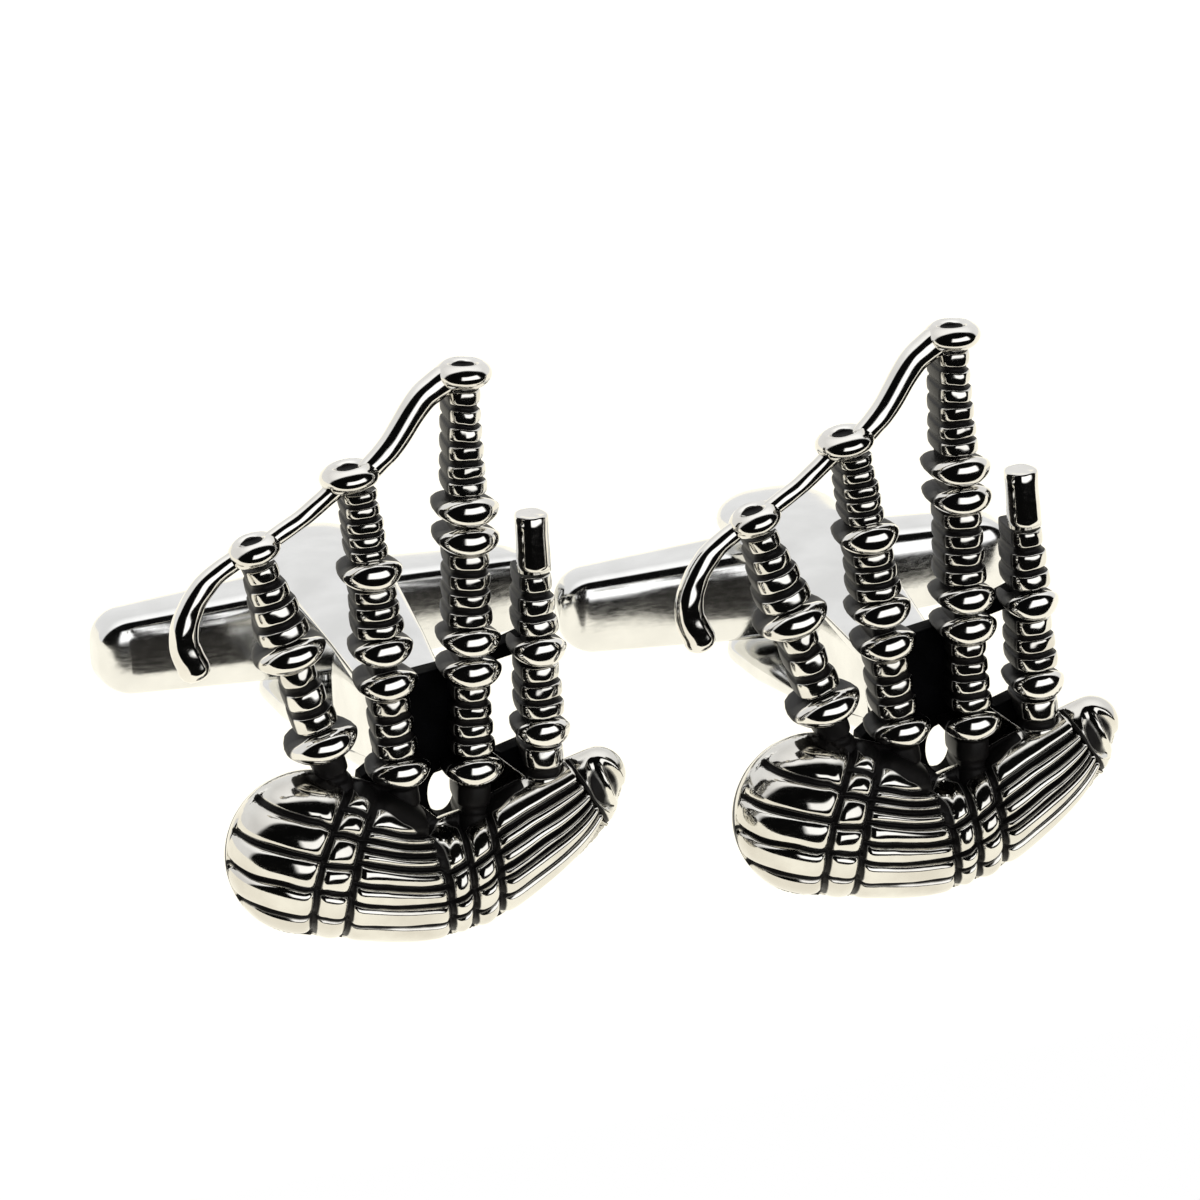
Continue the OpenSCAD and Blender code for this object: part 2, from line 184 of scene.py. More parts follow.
def casting(name, profile, wobble=0.0, seed=0.0, roundness=None, middles=None):
    """Half-round casting from its half profile: radius, height and black share of each row.

    Where roundness is 1, the row is a full circle instead, as in the hollow of a cap. Middles are
    the heights that the rows close in on towards the sides, which gives a lemon-shaped bead."""
    back = len(SIDE_SHARE) - len(FRONT)
    turn = np.concatenate([FRONT, np.linspace(math.pi / 2, 1.5 * math.pi, back + 2)[1:-1]])
    rows, hollow_black_and_shade = [], []
    for k, (r, z, deep) in enumerate(profile):
        x = r * SIDE_SHARE
        y = -PIPE_DEPTH * (1 - WALL_SHARE) - r * FRONT_SHARE
        full = 0.0 if roundness is None else roundness[k]
        x = x * (1 - full) + r * np.sin(turn) * full
        y = y * (1 - full) + (-PIPE_DEPTH - r * np.cos(turn)) * full
        lift = np.array([wobble * rough(1.1 * math.sin(t), z * 0.6, seed) for t in turn])
        swell = np.array([wobble * rough(1.7 * math.sin(t) + 9, z * 1.3, seed) for t in turn])
        grown = 1 + swell / max(r, 0.3)
        y = np.where(y < -PIPE_DEPTH, -PIPE_DEPTH + (y + PIPE_DEPTH) * grown, y)
        height = z + lift
        if middles is not None:
            height = middles[k] + (height - middles[k]) * (1 - BEAD_PINCH * (1 - FRONT_SHARE) ** 1.2)
        rows.append(np.stack([x * grown, y, height], -1))
        # Painted shade: the side walls get a black share of 0.8 and the back 0.9, and the front's outermost
        # strip on each side up to 0.8; rows that are full circles get none.
        painted_side_shade = np.where(WALL_SHARE > 0.95, 0.9, np.where(WALL_SHARE > 0, 0.8, 0.0))
        painted_edge_shade = 0.8 * np.clip((np.abs(SIDE_SHARE) - 0.86) / 0.14, 0, 1)
        hollow_black_and_shade.append(np.maximum(np.maximum(painted_side_shade, painted_edge_shade * (FRONT_SHARE > 0)) * (1 - full), deep))
    return loft(name, rows, hollow_black_and_shade)


def ringed(z0, z1, ends, rings, seed, dark=0.0):
    """Profile of raised rings of uneven width between two heights, tapering from end to end."""
    pitch = (z1 - z0) / rings
    profile = []
    for i in range(rings):
        mid = z0 + (i + 0.5 + 0.1 * rough(i * 2.3, seed, 1)) * pitch
        half = pitch * (0.35 + 0.06 * rough(i * 1.7, seed, 5))
        r = ends[0] + (ends[1] - ends[0]) * i / max(1, rings - 1)
        crest = r * (1 + 0.05 * rough(i * 3.1, seed, 9))
        for a in np.linspace(-math.pi / 2, math.pi / 2, 13):
            bulge = max(0.0, math.cos(a)) ** 0.38
            # Black share 1 - bulge puts black in the grooves between rings; dark raises it everywhere, which
            # paints shade over a whole section.
            profile.append((crest - RING_CUT * (1 - bulge), mid + half * math.sin(a), max(dark, 1 - bulge)))
    return profile


def neck(z0, z1):
    return [(NECK_R, z0, 1.0), (NECK_R, z1, 1.0)]


def ended(profile, hollow_black_and_shade=0.0):
    """Profile closed at its foot and its head by flat faces with soft edges."""
    (r0, z0, _), (r1, z1, _) = profile[0], profile[-1]
    foot = [(0.05, z0, hollow_black_and_shade), (r0 * 0.6, z0, hollow_black_and_shade), (r0 * 0.93, z0 + 0.01, hollow_black_and_shade)]
    head = [(r1 * 0.93, z1 - 0.01, hollow_black_and_shade), (r1 * 0.6, z1, hollow_black_and_shade), (0.05, z1, hollow_black_and_shade)]
    return foot + profile + head


def bead(z, r):
    """Profile of one rounded collar."""
    h = COLLAR_H + 0.14
    profile = []
    for a in np.linspace(-math.pi / 2, math.pi / 2, 21):
        bulge = max(0.0, math.cos(a)) ** 0.5
        low = max(0.0, 1 - bulge * 1.7)
        profile.append((NECK_R + (r - NECK_R) * bulge, z + h / 2 * math.sin(a), low))
    return profile


def collars(name, heights, r, seed):
    profile, middles = [], []
    for z in heights:
        rows = bead(z, r)
        profile += rows
        middles += [z] * len(rows)
    middles = [heights[0]] * 3 + middles + [heights[-1]] * 3
    return casting(name, ended(profile, 1.0), 0.03, seed, middles=middles)


def cap(name, r, seed):
    """Round lens-shaped cap with a small hollow in its top."""
    lip = math.radians(52)
    points = [
        (0.05, CAP_TOP - CAP_HOLLOW_H, 1.0), (CAP_HOLLOW_R * 0.75, CAP_TOP - CAP_HOLLOW_H, 1.0),
        (CAP_HOLLOW_R * 0.95, CAP_TOP - CAP_HOLLOW_H * 0.6, 0.9), (CAP_HOLLOW_R, CAP_TOP - 0.07, 0.3),
    ]
    for t in np.linspace(lip, -math.pi / 2 + 0.05, 30):
        points.append((r * math.cos(t) ** 0.85, CAP_TOP * math.sin(t) / math.sin(lip), 0.0))
    return casting(name, [(a, max(-CAP_H / 2, b), c) for a, b, c in points], 0.02, seed, [1] * len(points))


# ---------------------------------------------------------------- the four pipes

PIPES = {
    "bass": ((1.62, 3.3), -1.2),
    "inner": ((-0.86, 3.6), 5.0),
    "outer": ((-3.25, 5.3), 15.5),
    "blow": ((4.36, 3.3), 0.4),
}
BASS_LEN, INNER_LEN, OUTER_LEN, BLOW_LEN, MOUTH_LEN = 16.85, 13.35, 9.65, 9.7, 2.15

# Collar heights along each pipe, measured from its foot
BASS_TOP_COLLARS, BASS_SLIDE_COLLARS, BASS_FOOT_COLLAR = (11.3, 12.4), (6.35, 7.5), 2.6
INNER_TOP_COLLAR, INNER_SLIDE_COLLARS, INNER_FOOT_COLLAR = 10.2, (6.0, 7.3), 2.6
OUTER_SLIDE_COLLAR, OUTER_FOOT_COLLAR = 6.1, 2.45
BLOW_SLIDE_COLLAR, BLOW_FOOT_COLLAR = 6.8, 3.7
BASS_COLLAR_R, BASS_LOW_COLLAR_R, INNER_COLLAR_R, OUTER_COLLAR_R, BLOW_COLLAR_R = 1.18, 1.14, 1.15, 1.36, 1.04
HALF_COLLAR = COLLAR_H / 2
FOOT_R = (0.62, 0.62)


def on_pipe(pipe):
    """From a pipe's own axis to the cufflink's frame, in metres."""
    (x, z), tilt = PIPES[pipe]
    return Matrix.Translation(Vector((x, 0, z)) * MM) @ Matrix.Rotation(math.radians(-tilt), 4, "Y")


def sections(parts, seed):
    """Drone profile: ringed sections between the collars, with a bare neck through each collar."""
    profile = []
    for i, (z0, z1, ends, rings) in enumerate(parts):
        if profile:
            profile += neck(profile[-1][1] + 0.02, z0 - 0.02)
        # The feet (FOOT_R sections) are painted black all over: painted shade under the foot collars, just
        # above the bag.
        profile += ringed(z0, z1, ends, rings, seed + i, 1.0 if ends == FOOT_R else 0.0)
    return casting("drone", ended(profile, 1.0), 0.05, seed)


def pipe_pieces():
    """Name, mesh and pipe of each piece on the four pipes."""
    h = HALF_COLLAR
    low, high = BASS_SLIDE_COLLARS
    yield "bass_drone", sections([
        (0, BASS_FOOT_COLLAR - h, FOOT_R, 2),
        (BASS_FOOT_COLLAR + h, low - h, (0.8, 0.72), 4),
        (high + h, BASS_TOP_COLLARS[0] - h, (0.86, 0.76), 4),
        (BASS_TOP_COLLARS[1] + h, BASS_LEN, (0.74, 0.6), 6)], 1.0), "bass"
    yield "bass_top_collars", collars("collars", BASS_TOP_COLLARS, BASS_COLLAR_R, 2.0), "bass"
    yield "bass_slide_collars", collars("collars", BASS_SLIDE_COLLARS, BASS_LOW_COLLAR_R, 3.0), "bass"
    yield "bass_foot_collar", collars("collars", (BASS_FOOT_COLLAR,), BASS_LOW_COLLAR_R, 4.0), "bass"
    low, high = INNER_SLIDE_COLLARS
    yield "inner_tenor_drone", sections([
        (0, INNER_FOOT_COLLAR - h, FOOT_R, 2),
        (INNER_FOOT_COLLAR + h, low - h, (0.78, 0.72), 3),
        (high + h, INNER_TOP_COLLAR - h, (0.92, 0.8), 3),
        (INNER_TOP_COLLAR + h, INNER_LEN, (0.74, 0.62), 5)], 5.0), "inner"
    yield "inner_tenor_top_collar", collars("collars", (INNER_TOP_COLLAR,), INNER_COLLAR_R, 6.0), "inner"
    yield "inner_tenor_slide_collars", collars("collars", INNER_SLIDE_COLLARS, INNER_COLLAR_R, 7.0), "inner"
    yield "inner_tenor_foot_collar", collars("collars", (INNER_FOOT_COLLAR,), INNER_COLLAR_R, 8.0), "inner"
    yield "outer_tenor_drone", sections([
        (0, OUTER_FOOT_COLLAR - h, FOOT_R, 2),
        (OUTER_FOOT_COLLAR + h, OUTER_SLIDE_COLLAR - h, (0.82, 0.68), 3),
        (OUTER_SLIDE_COLLAR + h, OUTER_LEN, (0.96, 0.6), 4)], 9.0), "outer"
    yield "outer_tenor_slide_collar", collars("collars", (OUTER_SLIDE_COLLAR,), OUTER_COLLAR_R, 10.0), "outer"
    yield "outer_tenor_foot_collar", collars("collars", (OUTER_FOOT_COLLAR,), OUTER_COLLAR_R, 11.0), "outer"
    yield "blowpipe", sections([
        (0, BLOW_FOOT_COLLAR - h, (0.82, 0.74), 3),
        (BLOW_FOOT_COLLAR + h, BLOW_SLIDE_COLLAR - h, (0.82, 0.74), 3),
        (BLOW_SLIDE_COLLAR + h, BLOW_LEN, (0.76, 0.62), 3)], 12.0), "blow"
    yield "blowpipe_slide_collar", collars("collars", (BLOW_SLIDE_COLLAR,), BLOW_COLLAR_R, 13.0), "blow"
    yield "blowpipe_foot_collar", collars("collars", (BLOW_FOOT_COLLAR,), BLOW_COLLAR_R, 14.0), "blow"
    mouth = [(0.6, z, 0.0) for z in np.linspace(BLOW_LEN + 0.02, BLOW_LEN + MOUTH_LEN - 0.1, 8)]
    mouth += [(0.57, BLOW_LEN + MOUTH_LEN - 0.03, 0.0), (0.5, BLOW_LEN + MOUTH_LEN, 0.0)]
    rounded = ended(mouth)
    yield "mouthpiece", casting("mouthpiece", rounded, 0.02, 15.0, [0.85] * len(rounded)), "blow"


def cap_pieces():
    """Name, mesh and place of each cap."""
    up = CAP_H / 2
    yield "bass_cap", cap("cap", 1.04, 16.0), (
        on_pipe("bass") @ Matrix.Translation((0, 0, (BASS_LEN + up) * MM)))
    yield "inner_tenor_cap", cap("cap", 1.08, 17.0), (
        on_pipe("inner") @ Matrix.Translation((-0.3 * MM, 0, (INNER_LEN + up) * MM)))
    yield "outer_tenor_cap", cap("cap", 0.98, 18.0), (
        on_pipe("outer") @ Matrix.Translation((0, 0, (OUTER_LEN + up) * MM)))


# ---------------------------------------------------------------- cord

def cord(name, path, r0, r1, flare=0.0, seed=0.0):
    """Round metal cord along a smooth path, with blunt rounded ends; flare swells its start."""
    line = smooth_path(path, 10)
    count = len(line)
    share = np.linspace(0, 1, count)
    radius = r0 + (r1 - r0) * share + flare * np.exp(-(share / 0.12) ** 2)
    along = np.gradient(line, axis=0)
    along /= np.linalg.norm(along, axis=1)[:, None]
    centres, radii, ways = list(line), list(radius), list(along)
    for t in np.radians((25, 50, 72, 86)):
        centres.insert(0, line[0] - along[0] * radius[0] * 0.8 * math.sin(t))
        centres.append(line[-1] + along[-1] * radius[-1] * 0.8 * math.sin(t))
        radii.insert(0, radius[0] * math.cos(t))
        radii.append(radius[-1] * math.cos(t))
        ways.insert(0, along[0])
        ways.append(along[-1])
    turn = np.linspace(0, 2 * math.pi, 29)[:-1]
    rows = []
    for i, (at, r, way) in enumerate(zip(centres, radii, ways)):
        out = np.cross(way, (0, 1, 0))
        out /= np.linalg.norm(out)
        front = np.cross(out, way)
        grown = np.array([r * (1 + 0.05 * rough(1.3 * math.cos(t), i * 0.22, seed)) for t in turn])
        ring = at + np.outer(grown * np.cos(turn), out) + np.outer(grown * np.sin(turn), front)
        ring[:, 1] = np.minimum(ring[:, 1], -0.02)
        rows.append(ring)
    return loft(name, rows, np.zeros((len(rows), len(turn))))


def cord_pieces():
    yield "cord_upper", cord("cord_upper", (
        (1.3, -1.8, 20.5), (0.35, -1.8, 19.85), (-0.75, -1.8, 18.35), (-1.7, -1.8, 17.45)),
        0.56, 0.42, 0.0, 20.0)
    yield "cord_lower", cord("cord_lower", (
        (-2.75, -1.8, 17.1), (-4.0, -1.8, 16.15), (-5.35, -1.8, 15.35)), 0.34, 0.34, 0.06, 21.0)
    yield "cord_tail", cord("cord_tail", (
        (-6.35, -1.8, 15.0), (-7.62, -1.78, 14.18), (-8.41, -1.75, 13.12), (-8.68, -1.7, 11.98),
        (-8.34, -1.6, 10.92)), 0.34, 0.6, 0.0, 22.0)


# ---------------------------------------------------------------- bag

def bag_circles():
    """Centres and radii of the closely spaced round sections that make the bag."""
    line = smooth_path(BAG_STATIONS, 24)
    return line[:, 0], line[:, 1], line[:, 2]


CIRCLE_X, CIRCLE_Z, CIRCLE_R = bag_circles()


def bag_room(x, z):
    """Square of the bag's half depth, before its squash, at each point of the XZ plane."""
    gap = (x[..., None] - CIRCLE_X) ** 2 + (z[..., None] - CIRCLE_Z) ** 2
    return (CIRCLE_R ** 2 - gap).max(-1)


def slice_through(at, way):
    """Middle and half length of the part of a line that lies inside the bag."""
    reach = np.linspace(-5, 5, 1601)
    inside = reach[bag_room(at[0] + way[0] * reach, at[1] + way[1] * reach) > 0]
    if len(inside) == 0:
        return np.array(at), 0.01
    return np.array(at) + np.array(way) * (inside[0] + inside[-1]) / 2, (inside[-1] - inside[0]) / 2


LEFT_GROOVES = (0.9, 0.46, 0.02, -0.4, -0.76)
BAND_GROOVES = (0.85, 0.53, 0.14, -0.25, -0.64)
MIDDLE_GROOVES = (0.95, 0.79, 0.66, 0.45, 0.12, -0.2, -0.6)
RIGHT_GROOVES = (0.66, 0.37, 0.045, -0.165, -0.6)
BEAD_GROOVES = ((0.37, -0.2, -0.55), (0.36, -0.14, -0.65))
# Between the bands, the ribs follow the bag's slope only half as far from this x
LEVEL_X = -0.8


def band_lines(w):
    """Where the grooves of the two cross bands lie at rib height w, as x in mm."""
    return (
        -4.8 + 0.85 * w + 0.8 * w * w,
        -3.5 + 0.69 * w + 0.5 * w * w,
        0.2 - 0.2 * w,
        1.1 - 0.2 * w,
        2.1 - 0.2 * w,
    )


def near_groove(value, lines):
    """Distance to the nearest line, and the place between two lines from -1 to 1."""
    lines = sorted(lines)
    gap = min(abs(value - line) for line in lines)
    low = max([line for line in lines if line <= value], default=lines[0] - 0.5)
    high = min([line for line in lines if line > value], default=lines[-1] + 0.5)
    return gap, 2 * (value - low) / (high - low) - 1


def bag_carving(x, z):
    """Depth of the carving and black share at a point on the bag's front: black in the grooves."""
    uneven = 0.025 * rough(x * 0.9, z * 0.9, 3.0)
    middle, half = rib_frame(x)
    w = (z - middle) / half + uneven
    bands = [b + 0.05 * rough(z * 1.1, b, 7.0) for b in band_lines(w)]
    if bands[1] <= x < bands[2]:
        middle, half = rib_frame((x + LEVEL_X) / 2)
        w = (z - middle) / half + uneven
    if x < bands[0]:
        ribs = [g - 0.083 * (x + 7.65) for g in LEFT_GROOVES]
    elif x < bands[1]:
        ribs = BAND_GROOVES
    elif x < bands[2]:
        ribs = MIDDLE_GROOVES
    elif x < bands[3]:
        ribs = [g + 0.12 * (x - bands[2]) for g in BEAD_GROOVES[0]]
    elif x < bands[4]:
        ribs = [g + 0.12 * (x - bands[3]) for g in BEAD_GROOVES[1]]
    else:
        ribs = RIGHT_GROOVES
    rib_gap, rib_place = near_groove(w, ribs)
    rib_gap *= half
    band_gap = min(abs(x - b) for b in bands)
    groove = max(math.exp(-(rib_gap / 0.12) ** 2), math.exp(-(band_gap / 0.15) ** 2))
    pillow = 0.2 * abs(rib_place) ** 2.6 + 0.14 * math.exp(-(band_gap / 0.3) ** 2)
    return pillow + 0.2 * groove, min(1.0, 1.15 * groove)


def bag_surface(name, lines, carve, front=150, back=20):
    """Closed bag surface through slices; a line is a point, a direction and a share drawn in."""
    rise = np.concatenate([
        np.linspace(-math.pi / 2, math.pi / 2, front),
        np.linspace(math.pi / 2, -math.pi / 2, back + 2)[1:-1],
    ])
    face = np.arange(len(rise)) < front
    rows = []
    for at, way, drawn in lines:
        centre, half = slice_through(at, way)
        offset = half * (1 - drawn) * np.sin(rise)
        x, z = centre[0] + way[0] * offset, centre[1] + way[1] * offset
        room = BAG_SQUASH * np.sqrt(np.maximum(bag_room(x, z), 0)) * (1 - drawn)
        rows.append(np.stack([x, np.where(face, -BAG_DEPTH - room, np.minimum(-BAG_DEPTH + room, 0)), z], -1))
    rows = np.array(rows)
    out = np.cross(np.gradient(rows, axis=1), np.gradient(rows, axis=0))
    out /= np.maximum(np.linalg.norm(out, axis=2), 1e-9)[..., None]
    if out[:, front // 2, 1].sum() > 0:
        out = -out
    hollow_black_and_shade = np.zeros(rows.shape[:2])
    # Painted shade: the bag's back rows get a black share of 0.9.
    hollow_black_and_shade[:, front + 2:] = 0.9
    for i in range(rows.shape[0]):
        for j in range(front):
            cut, hollow_black_and_shade[i, j] = carve(*rows[i, j])
            edge = math.sin((j / (front - 1)) * math.pi) ** 0.3
            rows[i, j] -= out[i, j] * cut * edge
    return loft(name, rows, hollow_black_and_shade)


def rib_frame(x):
    """Middle and half height that the long ribs follow at x."""
    held = max(x, BAG_STATIONS[0][0])
    return float(np.interp(held, CIRCLE_X, CIRCLE_Z)), float(np.interp(held, CIRCLE_X, CIRCLE_R))


def carve_bag(x, y, z):
    middle, half = rib_frame(x)
    cut, hollow_black_and_shade = bag_carving(x, z)
    # Painted shade: along the top edge of the bag's middle, where the pipes stand, the bag turns black.
    over = (z - middle) / half - 0.95 + 0.06 * rough(x * 1.5, 4.0, 1.0)
    if -2.9 < x < 3.4:
        hollow_black_and_shade = max(hollow_black_and_shade, min(1.0, max(0.0, over * 12)))
    return cut, hollow_black_and_shade


def bag_mesh():
    """The bag from its round left end to the fold where its tip begins."""
    first_x, _, first_r = BAG_STATIONS[0]
    end = first_x - first_r
    round_end = [end + (1 - math.cos(a)) * first_r for a in np.linspace(0.05, math.pi / 2, 60)]
    body = list(np.linspace(first_x, FOLD_AT[0], 190)[1:])
    lines = []
    for x in round_end + body:
        share = min(1.0, max(0.0, (x - 2.6) / (FOLD_AT[0] - 2.6)))
        turn = math.radians(FOLD_TURN) * share ** 1.5
        middle = float(np.interp(x, CIRCLE_X, CIRCLE_Z)) * (1 - share) + FOLD_AT[1] * share
        drawn = {2: 0.05, 1: 0.12}.get(len(round_end + body) - len(lines), 0.0)
        lines.append(((x, middle), (-math.sin(turn), math.cos(turn)), drawn))
    return bag_surface("bag", lines, carve_bag)


def from_fold(x, z):
    """Distances beyond the fold and along it."""
    turn = math.radians(FOLD_TURN)
    dx, dz = x - FOLD_AT[0], z - FOLD_AT[1]
    return dx * math.cos(turn) + dz * math.sin(turn), dz * math.cos(turn) - dx * math.sin(turn)


def carve_tip(x, y, z):
    """A curled leaf: a raised rim round a dished face painted dark as painted shade, with a bright ridge down
    it left unpainted and black along the groove of the fold.
    """
    beyond, up = from_fold(x, z)
    inside = 1 - ((beyond - 0.72) / 0.68) ** 2 - ((up - 0.1) / 1.15) ** 2
    dish = min(1.0, max(0.0, inside * 2.2))
    ridge = math.exp(-((beyond - 0.8 - 0.1 * up) / 0.14) ** 2)
    lip = math.exp(-(beyond / 0.14) ** 2)
    return 0.26 * dish * (1 - 0.75 * ridge) + 0.12 * lip, max(0.62 * dish * (1 - ridge), lip)


def bag_tip_mesh():
    turn = math.radians(FOLD_TURN)
    last_x, last_z, last_r = BAG_STATIONS[-1]
    reach = from_fold(last_x, last_z)[0] + last_r
    lines = []
    for t in np.linspace(0, math.pi / 2 - 0.05, 60):
        beyond = reach * math.sin(t)
        at = (FOLD_AT[0] + beyond * math.cos(turn), FOLD_AT[1] + beyond * math.sin(turn))
        lines.append((at, (-math.sin(turn), math.cos(turn)), 0.0))
    return bag_surface("bag_tip", lines, carve_tip, 90, 20)


# ---------------------------------------------------------------- web

WEB_OUTLINE = (
    (-2.4, 5.2), (-2.3, 5.75), (-1.2, 6.5), (-1.4, 9.3), (-0.2, 9.35),
    (1.75, 9.6), (4.4, 10.5), (4.4, 9.8), (2.4, 9.4), (1.8, 8.7), (2.2, 6.3),
    (3.0, 5.95), (4.4, 6.35), (4.4, 4.6), (1.8, 3.6), (-0.9, 3.6),
)
HOLE_AT = (0.75, 4.7)
HOLE_W, HOLE_H = 1.2, 1.9


def web_mesh():
    """Plate with softly rounded edges and an oval hole, drawn as a filled curve."""
    curve = bpy.data.curves.new("web", "CURVE")
    curve.dimensions = "2D"
    curve.fill_mode = "BOTH"
    curve.extrude = (WEB_T / 2 - 0.12) * MM
    curve.bevel_depth = 0.12 * MM
    curve.bevel_resolution = 3
    curve.offset = -0.12 * MM
    turns = np.linspace(0, 2 * math.pi, 41)[:-1]
    hole = [(HOLE_AT[0] + HOLE_W / 2 * math.cos(t), HOLE_AT[1] + HOLE_H / 2 * math.sin(t)) for t in turns]
    for points in (WEB_OUTLINE, hole):
        spline = curve.splines.new("POLY")
        spline.points.add(len(points) - 1)
        for point, (x, z) in zip(spline.points, points):
            point.co = (x * MM, z * MM, 0, 1)
        spline.use_cyclic_u = True
    holder = bpy.data.objects.new("web", curve)
    bpy.context.scene.collection.objects.link(holder)
    bpy.context.view_layer.update()
    mesh = bpy.data.meshes.new_from_object(holder.evaluated_get(bpy.context.evaluated_depsgraph_get()))
    bpy.data.objects.remove(holder)
    mesh.transform(Matrix.Translation((0, -WEB_T / 2 * MM, 0)) @ Matrix.Rotation(math.pi / 2, 4, "X"))
    bm = bmesh.new()
    bm.from_mesh(mesh)
    bmesh.ops.remove_doubles(bm, verts=bm.verts, dist=0.001 * MM)
    bmesh.ops.recalc_face_normals(bm, faces=bm.faces)
    bm.to_mesh(mesh)
    bm.free()
    mesh.set_sharp_from_angle(angle=math.radians(35))
    attr = mesh.attributes.new("hollow_black_and_shade", "FLOAT", "POINT")
    attr.data.foreach_set("value", np.ones(len(mesh.vertices), dtype=np.float32))
    return mesh


# ---------------------------------------------------------------- fork, pin, pad and toggle

def rounded_section(half_w, low, high, power, count=48):
    """Loop of a rounded rectangle in the XZ plane."""
    turn = np.linspace(0, 2 * math.pi, count + 1)[:-1]
    c, s = np.cos(turn), np.sin(turn)
    x = half_w * np.sign(c) * np.abs(c) ** (2 / power)
    z = (low + high) / 2 + (high - low) / 2 * np.sign(s) * np.abs(s) ** (2 / power)
    return x, z


def arm_edges(y):
    """Height of the arm's outer and inner face at y."""
    lobe_start = PIVOT_Y - LOBE_R
    outer = np.interp(y, [PAD_T, lobe_start], [STEM_HALF, ARM_OUT])
    inner = np.interp(y, [PAD_T, CROTCH_Y, lobe_start], [CROTCH_IN * 0.4, CROTCH_IN, ARM_IN])
    return float(outer), float(inner)


def arm_mesh(side):
    """One arm of the fork, from inside the stem to the end of its domed lobe."""
    ys = list(np.linspace(PAD_T + 0.02, PIVOT_Y, 60))
    ys += [PIVOT_Y + LOBE_R * math.sin(t) for t in np.linspace(0.04, math.pi / 2 - 0.05, 26)]
    rows = []
    for y in ys:
        outer, inner = arm_edges(y)
        wide = STEM_HALF_W + (LOBE_R - STEM_HALF_W) * (y - PAD_T) / (PIVOT_Y - PAD_T)
        if y > PIVOT_Y:
            wide = math.sqrt(max(LOBE_R ** 2 - (y - PIVOT_Y) ** 2, 0.0004))
        end = max(0.0, (y - PIVOT_Y) / LOBE_R)
        pull = (1 - math.sqrt(max(0.0, 1 - end ** 4))) * (outer - inner) / 2 * 0.8
        x, z = rounded_section(wide, inner + pull * 0.6, outer - pull, 3.4)
        dome = 0.16 * (x / LOBE_R) ** 2
        z = z - dome * (z > (inner + outer) / 2)
        rows.append(np.stack([x, np.full(len(x), y), side * z], -1))
    return loft("arm", rows, np.zeros((len(rows), len(x))))


def stem_mesh():
    """Block that the two arms spring from."""
    rows = []
    for y in np.linspace(PAD_T + 0.01, CROTCH_Y + 0.35, 30):
        outer, _ = arm_edges(y)
        wide = STEM_HALF_W + (LOBE_R - STEM_HALF_W) * (y - PAD_T) / (PIVOT_Y - PAD_T)
        late = max(0.0, (y - CROTCH_Y) / 0.35)
        top = outer * (1 - 0.15 * late)
        x, z = rounded_section(wide * (1 - 0.03 * late), -top, top, 4.2)
        rows.append(np.stack([x, np.full(len(x), y), z], -1))
    return loft("stem", rows, np.zeros((len(rows), len(x))))


def pin_mesh(radius, half_len, soft=0.08):
    """Round pin about the Z axis."""
    turn = np.linspace(0, 2 * math.pi, 49)[:-1]
    profile = [(radius * 0.3, -half_len), (radius - soft, -half_len), (radius, -half_len + soft)]
    profile += [(r, -z) for r, z in reversed(profile)]
    rows = [np.stack([r * np.cos(turn), r * np.sin(turn), np.full(len(turn), z)], -1) for r, z in profile]
    return loft("pin", rows, np.zeros((len(rows), len(turn))))


def combined(name, first, others):
    """First mesh joined to, or cut by, the other meshes: others is pairs of mesh and operation."""
    base = bpy.data.objects.new(name, first)
    bpy.context.scene.collection.objects.link(base)
    tools = []
    for mesh, operation in others:
        tool = bpy.data.objects.new(name + "_tool", mesh)
        bpy.context.scene.collection.objects.link(tool)
        change = base.modifiers.new("combine", "BOOLEAN")
        change.operation = operation
        change.solver = "EXACT"
        change.object = tool
        tools.append(tool)
    bpy.context.view_layer.update()
    mesh = bpy.data.meshes.new_from_object(base.evaluated_get(bpy.context.evaluated_depsgraph_get()))
    for o in [base] + tools:
        bpy.data.objects.remove(o)
    mesh.name = name
    mesh.shade_smooth()
    mesh.set_sharp_from_angle(angle=math.radians(38))
    return mesh


def moved(mesh, x=0.0, y=0.0, z=0.0):
    mesh.transform(Matrix.Translation(Vector((x, y, z)) * MM))
    return mesh


def fork_mesh():
    mesh = combined("fork", stem_mesh(), [(arm_mesh(1), "UNION"), (arm_mesh(-1), "UNION")])
    pin = moved(pin_mesh(PIN_R, ARM_OUT - 0.14), y=PIVOT_Y)
    return moved(combined("fork", mesh, [(pin, "DIFFERENCE")]), z=PIVOT_Z)


def toggle_mesh():
    """Bar deepest at its pivot, with rounded bevels and blunt tips, about its pivot."""
    end = TOGGLE_LEN / 2
    flat = LOBE_R / 2
    rows = []
    bends = [end * math.sin(t) for t in np.linspace(-math.pi / 2 + 0.06, math.pi / 2 - 0.06, 120)]
    for x in bends:
        share = max(0.0, (abs(x) - flat) / (end - flat))
        high = TOGGLE_H + (TOGGLE_TIP_H - TOGGLE_H) * share
        deep = TOGGLE_D + (TOGGLE_TIP_D - TOGGLE_D) * share
        left = (end - abs(x)) / (TOGGLE_TIP_H * 0.42)
        blunt = math.sqrt(1 - (1 - min(1.0, left)) ** 2) if left < 1 else 1.0
        blunt = 0.3 + 0.7 * blunt
        y, z = rounded_section(deep / 2 * blunt, -high / 2 * blunt, high / 2 * blunt, 4.4, 64)
        rows.append(np.stack([np.full(len(y), x), y, z], -1))
    bore = pin_mesh(PIN_R + PIN_CLEAR, TOGGLE_H)
    solid = loft("toggle", rows, np.zeros((len(rows), len(y))))
    return combined("toggle_bar", solid, [(bore, "DIFFERENCE")])


